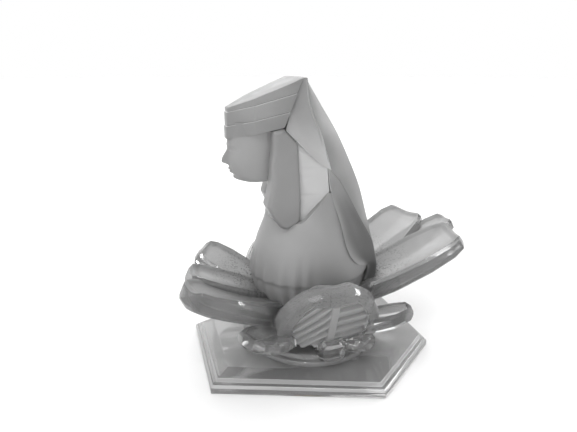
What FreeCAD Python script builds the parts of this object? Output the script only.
import FreeCAD, Part
import os
from math import atan2, cos, pi, sin

# Hood ornament: a satin-glass bust in a stepped headdress, rising from a lotus of thick glass
# leaves on a round plinth and a stepped six-sided glass plate.
# Millimetres.  +Z up, origin on the fixing axis at the underside, the figure faces -Y.

V = FreeCAD.Vector

# ---- driving dimensions -----------------------------------------------------------------------
# plate: right half of its six-sided outline, front to rear
PLATE_OUTLINE = [(25.0, -52.5), (50.0, 15.0), (23.0, 52.5)]
# plate rim, as (inset from the outline, height)
PLATE_TIERS = [(0.0, 0.0), (0.0, 2.6), (1.2, 3.8), (2.6, 3.8), (3.4, 5.4), (5.0, 5.4), (8.6, 7.0)]

PLINTH_RADIUS = 32.0
PLINTH_STEP_RADIUS = 29.0
PLINTH_DRAFT = 1.0       # the step is this much wider at its foot
PLINTH_BOTTOM = 7.0
PLINTH_STEP = 9.4
PLINTH_TOP = 11.0

CUP_SECTIONS = [(11.0, 23.0), (15.0, 27.5), (23.0, 26.0), (27.0, 22.0)]  # (height, corner radius)
CUP_SIDES = 16

# threaded insert that takes the cap stud
THREAD_RADIUS = 4.0
THREAD_DEPTH = 16.0
INSERT_RADIUS = 6.5
INSERT_TOP = 18.0
FLANGE_RADIUS = 10.0
FLANGE_THICKNESS = 2.0
CEMENT_GAP = 0.8
GASKET_THICKNESS = 1.0

# leaves: azimuth from the rear axis, reach, tip height, half width, tip thickness,
# root radius, root height, tip half width as a share of the half width
LEAVES = {
    "leaf_rear_right": (16.0, 67.5, 54.8, 15.0, 7.0, 20.0, 26.5, 0.66),
    "leaf_rear_left": (-17.5, 67.0, 53.0, 15.0, 7.0, 20.0, 26.0, 0.66),
    "leaf_rear_middle": (-1.0, 75.0, 54.0, 9.5, 6.0, 20.0, 23.0, 0.6),
    "leaf_side_right": (95.0, 37.0, 47.0, 22.0, 6.5, 24.0, 18.5, 0.24),
    "leaf_side_left": (-96.0, 37.0, 47.0, 22.0, 6.5, 24.0, 18.5, 0.24),
    "leaf_front_middle": (179.5, 56.0, 42.5, 10.0, 8.5, 20.0, 25.0, 0.7),
    "leaf_front_right": (160.0, 62.0, 45.0, 12.0, 8.0, 22.0, 24.5, 0.6),
    "leaf_front_left": (-151.0, 54.0, 43.0, 12.0, 7.0, 22.0, 24.5, 0.6),
    "leaf_low_front_right": (136.0, 50.0, 27.0, 10.5, 5.0, 23.0, 17.0, 0.5),
    "leaf_low_front_left": (-136.0, 50.0, 27.0, 10.5, 5.0, 23.0, 17.0, 0.5),
    "leaf_low_rear_right": (54.0, 49.0, 31.5, 9.5, 5.0, 23.0, 17.0, 0.5),
    "leaf_low_rear_left": (-54.0, 49.0, 31.5, 9.5, 5.0, 23.0, 17.0, 0.5),
    "leaf_low_side_right": (70.0, 38.0, 17.5, 7.0, 5.0, 24.0, 14.5, 0.7),
    "leaf_low_side_left": (-70.0, 38.0, 17.5, 7.0, 5.0, 24.0, 14.5, 0.7),
}
LEAF_CAMBER = 2.4        # how far the middle of a leaf lies below its edges ...
CAMBER_HALF_WIDTH = 16.0 # ... for this half width; others in proportion
LEAF_EDGE_CHAMFER = 1.2
ROOT_THICKENING = 1.4    # a leaf is this much thicker at its root than at its tip
# stations along a leaf, as (share of its length, share of its half width); the tip follows
LEAF_STATIONS = [(0.0, 0.62), (0.35, 0.93), (0.66, 1.0), (0.88, 0.9)]
ARCHED_STATIONS = [(0.0, 0.92), (0.3, 1.0), (0.55, 0.93), (0.75, 0.76), (0.9, 0.5)]
ARCHED_LEAVES = ("leaf_side_right", "leaf_side_left")

# glass knobs: eight-sided blocks that point outwards between the leaves
KNOB_HALF_WIDTH = 6.2
KNOB_HALF_HEIGHT = 5.0
KNOB_CORNER = 2.2
KNOB_FACE_SHARE = 0.78       # the outer face is smaller than the body
KNOB_AZIMUTH = 93.0
KNOB_REACH = 35.0
KNOB_HEIGHT = 15.5
KNOB_LENGTH = 10.0
KNOB_TAPER = 2.2             # length of the part that narrows to the outer face

# robe: (height, front Y, rear Y, half width)
ROBE_SECTIONS = [
    (24.0, -20.0, 20.0, 18.0),
    (31.0, -26.5, 25.0, 22.0),
    (41.0, -28.5, 27.0, 23.5),
    (54.0, -25.5, 25.5, 21.5),
    (66.0, -21.0, 23.0, 18.6),
    (82.0, -16.5, 18.5, 16.4),
]
# joint between robe and shoulders, seen from the side as (Y, Z)
SHOULDER_JOINT = [(-60.0, 67.0), (-10.0, 67.0), (1.0, 79.5), (60.0, 79.5)]
# shoulders: (height, front Y, chest corner X, chest corner Y, side X, side Y)
SHOULDER_SECTIONS = [
    (66.0, -20.0, 12.6, -12.0, 18.2, 1.5),
    (79.0, -17.0, 12.2, -11.5, 16.6, 1.6),
    (90.0, -14.0, 11.6, -11.0, 15.0, 1.2),
    (106.0, -12.5, 11.0, -10.5, 12.6, -2.0),
]
SHOULDER_FRONT_HALF_WIDTH = 6.0
# cape down the back: (height, front edge X, Y, ridge X, Y, rear corner X, Y)
CAPE_SECTIONS = [
    (27.0, 9.8, 21.5, 13.5, 25.5, 5.5, 30.5),
    (41.0, 11.6, 24.0, 13.0, 27.8, 5.2, 31.2),
    (47.5, 19.5, 14.2, 12.6, 26.9, 5.1, 30.1),
    (54.5, 20.7, 9.2, 12.0, 25.1, 5.0, 28.2),
    (65.0, 18.9, 6.6, 12.0, 19.0, 5.0, 25.0),
    (77.0, 17.2, 3.0, 13.0, 11.9, 5.3, 21.2),
    (84.0, 15.9, 1.8, 14.2, 7.2, 5.6, 18.2),
    (89.0, 15.2, 1.5, 15.3, 2.7, 5.8, 15.8),
    (102.2, 14.3, -2.0, 14.4, -1.0, 5.4, 9.2),
    (114.3, 12.9, -6.2, 13.0, -5.3, 4.6, 1.6),
    (124.6, 11.3, -7.2, 11.4, -6.6, 3.5, -4.6),
]
# side panels of the headcloth: (height, front X, front Y, rear X, rear Y)
CLOTH_SECTIONS = [
    (86.0, 12.2, -16.0, 15.8, 3.6),
    (89.0, 12.0, -16.0, 15.5, 2.7),
    (102.2, 11.0, -15.8, 14.5, -1.0),
    (114.3, 10.3, -12.5, 13.0, -5.3),
    (124.6, 11.2, -8.6, 11.4, -6.6),
]
CLOTH_HEM = [(-17.0, 106.8), (-10.0, 99.4), (-2.6, 92.0), (3.4, 88.4)]   # front to rear, as (Y, Z)
HEM_OVERRUN = 10.0           # the cutting line runs on past both ends of the hem

# neck: (height, centre Y, half width, half depth)
NECK_SECTIONS = [(74.0, -11.0, 9.0, 8.8), (84.0, -12.6, 7.6, 7.6), (92.0, -14.0, 7.2, 7.8)]
# head: (height, centre Y, half width, half depth)
HEAD_SECTIONS = [
    (83.0, -24.0, 4.5, 6.5),
    (87.0, -25.0, 7.0, 9.5),
    (93.0, -25.6, 8.4, 11.0),
    (99.0, -25.6, 8.8, 11.3),
    (104.0, -25.2, 8.8, 11.2),
    (108.0, -24.6, 8.4, 10.8),
]
# nose, as (height, half width, root Y, tip Y)
NOSE_SECTIONS = [(90.0, 1.6, -35.6, -38.2), (97.0, 1.0, -35.0, -36.6)]

# headdress bands: lower and upper height at the prow, the same at the mitre, stand-out at the sides
BANDS = {
    "headband_lower": ((101.2, 106.3), (106.2, 112.0), 0.7),
    "headband_middle": ((106.35, 111.75), (112.05, 119.0), 0.35),
    "headband_upper": ((111.8, 113.4), (119.05, 124.6), 0.0),
}
BAND_NOSE = (2.5, -36.4)           # corner of the prow, as (X, Y)
BAND_SHOULDER = (9.5, -27.0)       # where the prow meets the flank, as (X, Y)
BAND_FLANK = (12.0, -14.0)         # where the flank reaches its full width, as (X, Y)
BAND_MITRE_ALLOWANCE = 4.0         # extra length behind the mitre, cut off by it
MITRE_LOW = (-16.2, 106.0)         # the mitre between bands and headcloth, as (Y, Z)
MITRE_HIGH = (-8.4, 124.6)
MITRE_OVERRUN = 30.0               # the cutting plane runs on past both ends of the mitre

# lappets: outline seen from the side, as (Y, Z), and their place across the figure
LAPPET_OUTLINE = [(-20.6, 104.9), (-20.9, 96.8), (-21.7, 91.9), (-21.5, 84.3), (-23.0, 77.9),
                  (-23.9, 75.0), (-21.3, 69.2), (-18.6, 65.8), (-15.8, 64.5), (-11.4, 66.2),
                  (-9.7, 68.4), (-9.4, 76.0), (-10.2, 99.4), (-16.4, 105.9)]
LAPPET_INNER_X = 6.0
LAPPET_TOP_X = 12.6                # outer face at the height of the headband ...
LAPPET_BOTTOM_X = 15.4             # ... and at the rounded end
LAPPET_EDGE = 1.3                  # bevel round the outer face
LAPPET_LEFT_SETBACK = 4.0          # the left lappet lies this much further back

SEAM = 0.05              # clearance at a cemented seam
BIG = 300.0


# ---- helpers ----------------------------------------------------------------------------------
def polygon(points):
    """Closed wire through the points."""
    return Part.makePolygon(points + [points[0]])


def loft(wires, ruled=True):
    """Solid through closed wires."""
    return Part.makeLoft(wires, True, ruled)


def mirrored(half):
    """Closed outline from its right half, given front to rear as (X, Y)."""
    return half + [(-x, y) for x, y in reversed(half)]


def offset_outline(outline, inset):
    """The outline moved inwards by inset, with its corners kept sharp."""
    count = len(outline)
    lines = []
    for i, (x0, y0) in enumerate(outline):
        x1, y1 = outline[(i + 1) % count]
        length = ((x1 - x0) ** 2 + (y1 - y0) ** 2) ** 0.5
        normal_x, normal_y = -(y1 - y0) / length, (x1 - x0) / length
        lines.append((normal_x, normal_y, normal_x * x0 + normal_y * y0 + inset))
    corners = []
    for i in range(count):
        a0, b0, c0 = lines[i - 1]
        a1, b1, c1 = lines[i]
        det = a0 * b1 - a1 * b0
        corners.append(((c0 * b1 - c1 * b0) / det, (a0 * c1 - a1 * c0) / det))
    return corners


def at_height(outline, z):
    """Level wire through an outline given as (X, Y)."""
    return polygon([V(x, y, z) for x, y in outline])


def ellipse(z, centre_y, half_width, half_depth):
    """Closed ellipse wire in a level plane."""
    centre = V(0, centre_y, z)
    if half_width >= half_depth:
        curve = Part.Ellipse(centre + V(half_width, 0, 0), centre + V(0, half_depth, 0), centre)
    else:
        curve = Part.Ellipse(centre + V(0, half_depth, 0), centre + V(-half_width, 0, 0), centre)
    return Part.Wire([curve.toShape()])


def mirror_x(shape):
    return shape.mirror(V(0, 0, 0), V(1, 0, 0))


def extrude_x(points_yz, x0, x1):
    """Prism whose outline is given as (Y, Z)."""
    face = Part.Face(polygon([V(x0, y, z) for y, z in points_yz]))
    return face.extrude(V(x1 - x0, 0, 0))


def fit_around(shape, neighbours):
    """The shape with room for its neighbours, keeping its largest solid."""
    for other in neighbours:
        shape = shape.cut(other)
    return max(shape.Solids, key=lambda solid: solid.Volume)


# ---- plate, plinth and fixing -----------------------------------------------------------------
def base_plate():
    outline = mirrored(PLATE_OUTLINE)
    rings = [at_height(offset_outline(outline, inset), z) for inset, z in PLATE_TIERS]
    solid = None
    for low, high in zip(rings, rings[1:]):
        level_ledge = low.BoundBox.ZMin == high.BoundBox.ZMin
        if level_ledge:
            continue
        tier = loft([low, high])
        solid = tier if solid is None else solid.fuse(tier)
    bore = Part.makeCylinder(INSERT_RADIUS + CEMENT_GAP, BIG)
    counterbore = Part.makeCylinder(FLANGE_RADIUS + CEMENT_GAP, FLANGE_THICKNESS + GASKET_THICKNESS)
    return solid.cut(bore).cut(counterbore).removeSplitter().Solids[0]


def plinth_disc():
    disc = Part.makeCylinder(PLINTH_RADIUS, PLINTH_STEP - PLINTH_BOTTOM, V(0, 0, PLINTH_BOTTOM))
    step = Part.makeCone(PLINTH_STEP_RADIUS + PLINTH_DRAFT, PLINTH_STEP_RADIUS, PLINTH_TOP - PLINTH_STEP,
                         V(0, 0, PLINTH_STEP))
    bore = Part.makeCylinder(INSERT_RADIUS + CEMENT_GAP, BIG)
    return disc.fuse(step).cut(bore).removeSplitter().Solids[0]


def lotus_cup():
    def ring(z, radius):
        angles = [2 * pi * i / CUP_SIDES for i in range(CUP_SIDES)]
        return polygon([V(radius * sin(a), radius * cos(a), z) for a in angles])

    solid = loft([ring(z, radius) for z, radius in CUP_SECTIONS])
    pocket = Part.makeCylinder(INSERT_RADIUS + CEMENT_GAP, INSERT_TOP + CEMENT_GAP)
    return solid.cut(pocket).Solids[0]


def threaded_insert():
    sleeve = Part.makeCylinder(INSERT_RADIUS, INSERT_TOP - FLANGE_THICKNESS, V(0, 0, FLANGE_THICKNESS))
    return sleeve.cut(Part.makeCylinder(THREAD_RADIUS, THREAD_DEPTH)).Solids[0]


def insert_flange():
    flange = Part.makeCylinder(FLANGE_RADIUS, FLANGE_THICKNESS)
    return flange.cut(Part.makeCylinder(THREAD_RADIUS, BIG)).Solids[0]


def fibre_washer():
    washer = Part.makeCylinder(FLANGE_RADIUS, GASKET_THICKNESS, V(0, 0, FLANGE_THICKNESS))
    return washer.cut(Part.makeCylinder(INSERT_RADIUS + SEAM, BIG)).Solids[0]


def insert_cement():
    bottom = FLANGE_THICKNESS + GASKET_THICKNESS
    outer = Part.makeCylinder(INSERT_RADIUS + CEMENT_GAP - SEAM, INSERT_TOP + CEMENT_GAP - SEAM - bottom,
                              V(0, 0, bottom))
    return outer.cut(Part.makeCylinder(INSERT_RADIUS + SEAM, INSERT_TOP + SEAM)).Solids[0]


# ---- lotus ------------------------------------------------------------------------------------
def leaf_section(radius, z, half_width, thickness, pitch):
    """Cross-section of a leaf: a shallow trough with chamfered edges, square to its centre line."""
    upper, lower = thickness / 2, -thickness / 2
    camber = LEAF_CAMBER * half_width / CAMBER_HALF_WIDTH
    right = [
        (half_width - LEAF_EDGE_CHAMFER, lower),
        (half_width, lower + LEAF_EDGE_CHAMFER),
        (half_width, upper - LEAF_EDGE_CHAMFER),
        (half_width - LEAF_EDGE_CHAMFER, upper),
    ]
    profile = [(0, lower - camber)] + right + [(0, upper - camber)]
    profile += [(-across, up) for across, up in reversed(right)]
    lean_r, lean_z = -sin(pitch), cos(pitch)
    return polygon([V(across, radius + up * lean_r, z + up * lean_z) for across, up in profile])


def leaf(stations, azimuth, reach, tip_height, half_width, thickness, root_radius, root_height,
         tip_share):
    """Thick leaf rising outwards from the cup, with a chamfered tip."""
    run, rise = reach - root_radius, tip_height - root_height
    pitch = atan2(rise, run)
    sections = []
    for along, width in stations + [(1.0, tip_share)]:
        depth = thickness * (ROOT_THICKENING + (1 - ROOT_THICKENING) * along)
        sections.append(leaf_section(root_radius + run * along, root_height + rise * along,
                                     half_width * width, depth, pitch))
    solid = loft(sections)
    solid.rotate(V(0, 0, 0), V(0, 0, 1), -azimuth)
    return solid


def glass_knob():
    """Chamfered clear block that points outwards under a side leaf."""
    def face(reach, share):
        corner_x, corner_z = KNOB_HALF_WIDTH - KNOB_CORNER, KNOB_HALF_HEIGHT - KNOB_CORNER
        upper = [(KNOB_HALF_WIDTH, corner_z), (corner_x, KNOB_HALF_HEIGHT)]
        lower = [(corner_x, -KNOB_HALF_HEIGHT), (KNOB_HALF_WIDTH, -corner_z)]
        half = lower + upper
        outline = half + [(-x, z) for x, z in reversed(half)]
        return polygon([V(x * share, reach, KNOB_HEIGHT + z * share) for x, z in outline])

    knob = loft([face(KNOB_REACH - KNOB_LENGTH, 1.0), face(KNOB_REACH - KNOB_TAPER, 1.0),
                 face(KNOB_REACH, KNOB_FACE_SHARE)])
    knob.rotate(V(0, 0, 0), V(0, 0, 1), -KNOB_AZIMUTH)
    return knob


# ---- figure -----------------------------------------------------------------------------------
def lofted_ellipses(sections):
    """Smooth solid through ellipses given as (height, front Y, rear Y, half width)."""
    wires = [ellipse(z, (front + rear) / 2, half_width, (rear - front) / 2)
             for z, front, rear, half_width in sections]
    return loft(wires, ruled=False)


def beside(outline_yz, above):
    """Everything above or below a line seen from the side, as a prism across the figure."""
    level = BIG if above else -BIG
    ends = [(outline_yz[-1][0], level), (outline_yz[0][0], level)]
    return extrude_x(outline_yz + ends, -BIG, BIG)


def cape():
    """Strip down the back: two flanks that meet the robe, two slanting faces and a narrow rear."""
    sections = []
    for z, *corners in CAPE_SECTIONS:
        half = [tuple(corners[0:2]), tuple(corners[2:4]), tuple(corners[4:6])]
        sections.append(at_height(mirrored(half), z))
    return loft(sections)


def robe():
    return lofted_ellipses(ROBE_SECTIONS).cut(beside(SHOULDER_JOINT, above=True))


def shoulders():
    sections = []
    for z, front_y, chest_x, chest_y, side_x, side_y in SHOULDER_SECTIONS:
        half = [(SHOULDER_FRONT_HALF_WIDTH, front_y), (chest_x, chest_y), (side_x, side_y)]
        sections.append(at_height(mirrored(half), z))
    return loft(sections).cut(beside(SHOULDER_JOINT, above=False))


def headcloth():
    sections = []
    for z, front_x, front_y, rear_x, rear_y in CLOTH_SECTIONS:
        sections.append(at_height(mirrored([(front_x, front_y), (rear_x, rear_y)]), z))
    solid = loft(sections).cut(in_front_of_mitre())
    (y0, z0), (y1, z1) = CLOTH_HEM[0], CLOTH_HEM[-1]
    beyond = HEM_OVERRUN
    hem = [(y0 - beyond, z0 + beyond)] + CLOTH_HEM + [(y1 + beyond, z1 - beyond)]
    return solid.cut(beside(hem, above=False))


def in_front_of_mitre():
    """Everything ahead of the plane where the bands end."""
    (y0, z0), (y1, z1) = MITRE_LOW, MITRE_HIGH
    lean = (y1 - y0) / (z1 - z0)
    over = MITRE_OVERRUN
    low, high = (y0 - over * lean, z0 - over), (y1 + over * lean, z1 + over)
    return extrude_x([low, high, (-BIG, z1 + over), (-BIG, z0 - over)], -BIG, BIG)


def headband(prow_heights, mitre_heights, stand_out):
    """One stepped band: a wedge with a narrow prow that rises to the rear."""
    rear_y = MITRE_HIGH[0] + BAND_MITRE_ALLOWANCE
    (nose_x, nose_y), (shoulder_x, shoulder_y), (flank_x, flank_y) = BAND_NOSE, BAND_SHOULDER, BAND_FLANK
    nose_y -= stand_out
    half = [(nose_x, nose_y), (shoulder_x + stand_out, shoulder_y), (flank_x + stand_out, flank_y),
            (flank_x + stand_out, rear_y)]
    plan = Part.Face(at_height(mirrored(half), 0)).extrude(V(0, 0, BIG))
    low_front, high_front = prow_heights
    low_rear, high_rear = mitre_heights
    mitre_lean = (MITRE_HIGH[0] - MITRE_LOW[0]) / (MITRE_HIGH[1] - MITRE_LOW[1])
    low_y = MITRE_LOW[0] + mitre_lean * (low_rear - MITRE_LOW[1])
    high_y = MITRE_LOW[0] + mitre_lean * (high_rear - MITRE_LOW[1])
    side = extrude_x([(nose_y, low_front), (low_y, low_rear), (high_y, high_rear), (nose_y, high_front)],
                     -BIG, BIG)
    return plan.common(side)


def head():
    wires = [ellipse(z, y, half_width, half_depth) for z, y, half_width, half_depth in HEAD_SECTIONS]
    skull = loft(wires, ruled=False)
    nose = loft([at_height([(half_width, root_y), (-half_width, root_y), (0, tip_y)], z)
                 for z, half_width, root_y, tip_y in NOSE_SECTIONS])
    return skull.fuse(nose).Solids[0]


def neck():
    wires = [ellipse(z, y, half_width, half_depth) for z, y, half_width, half_depth in NECK_SECTIONS]
    return loft(wires, ruled=False)


def lappet():
    """Flat tongue with a rounded end; its bevelled outer face leans outwards towards the end."""
    heights = [z for _, z in LAPPET_OUTLINE]
    top, bottom = max(heights), min(heights)

    def ring(outline, sunk):
        points = []
        for y, z in outline:
            outer = LAPPET_BOTTOM_X + (LAPPET_TOP_X - LAPPET_BOTTOM_X) * (z - bottom) / (top - bottom)
            points.append(V(outer - sunk, y, z))
        return polygon(points)

    inner = polygon([V(LAPPET_INNER_X, y, z) for y, z in LAPPET_OUTLINE])
    bevelled = offset_outline(LAPPET_OUTLINE, LAPPET_EDGE)
    return loft([inner, ring(LAPPET_OUTLINE, LAPPET_EDGE), ring(bevelled, 0)])


# ---- assembly ---------------------------------------------------------------------------------
def build():
    """Every piece by name; later pieces are cut to fit round the earlier ones they touch."""
    parts = {
        "base_plate": base_plate(),
        "plinth_disc": plinth_disc(),
        "lotus_cup": lotus_cup(),
        "threaded_insert": threaded_insert(),
        "insert_flange": insert_flange(),
        "fibre_washer": fibre_washer(),
        "insert_cement": insert_cement(),
    }
    cup = parts["lotus_cup"]

    bands = {name: headband(*sizes) for name, sizes in BANDS.items()}
    back = fit_around(cape(), [cup] + list(bands.values()))
    cloth = fit_around(headcloth(), [back] + list(bands.values()))
    skull = fit_around(head(), list(bands.values()) + [cloth, back])
    throat = fit_around(neck(), [skull, cloth, back])
    chest = fit_around(shoulders(), [throat, cloth, skull, back] + list(bands.values()))
    gown = fit_around(robe(), [cup, back, chest, throat])
    beside_lappets = [chest, gown, skull, cloth, back, throat] + list(bands.values())
    left_blank = mirror_x(lappet())
    left_blank.translate(V(0, LAPPET_LEFT_SETBACK, 0))
    parts.update(bands)
    parts.update({
        "headcloth": cloth,
        "head": skull,
        "neck": throat,
        "cape": back,
        "robe": gown,
        "shoulders": chest,
        "lappet_right": fit_around(lappet(), beside_lappets),
        "lappet_left": fit_around(left_blank, beside_lappets),
    })

    placed = [cup, parts["plinth_disc"], gown, back]
    for name, sizes in LEAVES.items():
        stations = ARCHED_STATIONS if name in ARCHED_LEAVES else LEAF_STATIONS
        parts[name] = fit_around(leaf(stations, *sizes), placed)
        placed.append(parts[name])
    knob = fit_around(glass_knob(), placed)
    parts["glass_knob_right"], parts["glass_knob_left"] = knob, mirror_x(knob)
    return parts


os.makedirs("parts", exist_ok=True)
for node, shape in build().items():
    solid = shape.Solids[0]
    if not solid.isValid() or len(shape.Solids) != 1:
        print("CHECK", node, "valid", solid.isValid(), "solids", len(shape.Solids))
    solid.exportStep("parts/" + node + ".step")
    box = solid.optimalBoundingBox()
    print("%-24s %8.0f mm3  x %.1f..%.1f  y %.1f..%.1f  z %.1f..%.1f" % (
        node, solid.Volume, box.XMin, box.XMax, box.YMin, box.YMax, box.ZMin, box.ZMax))
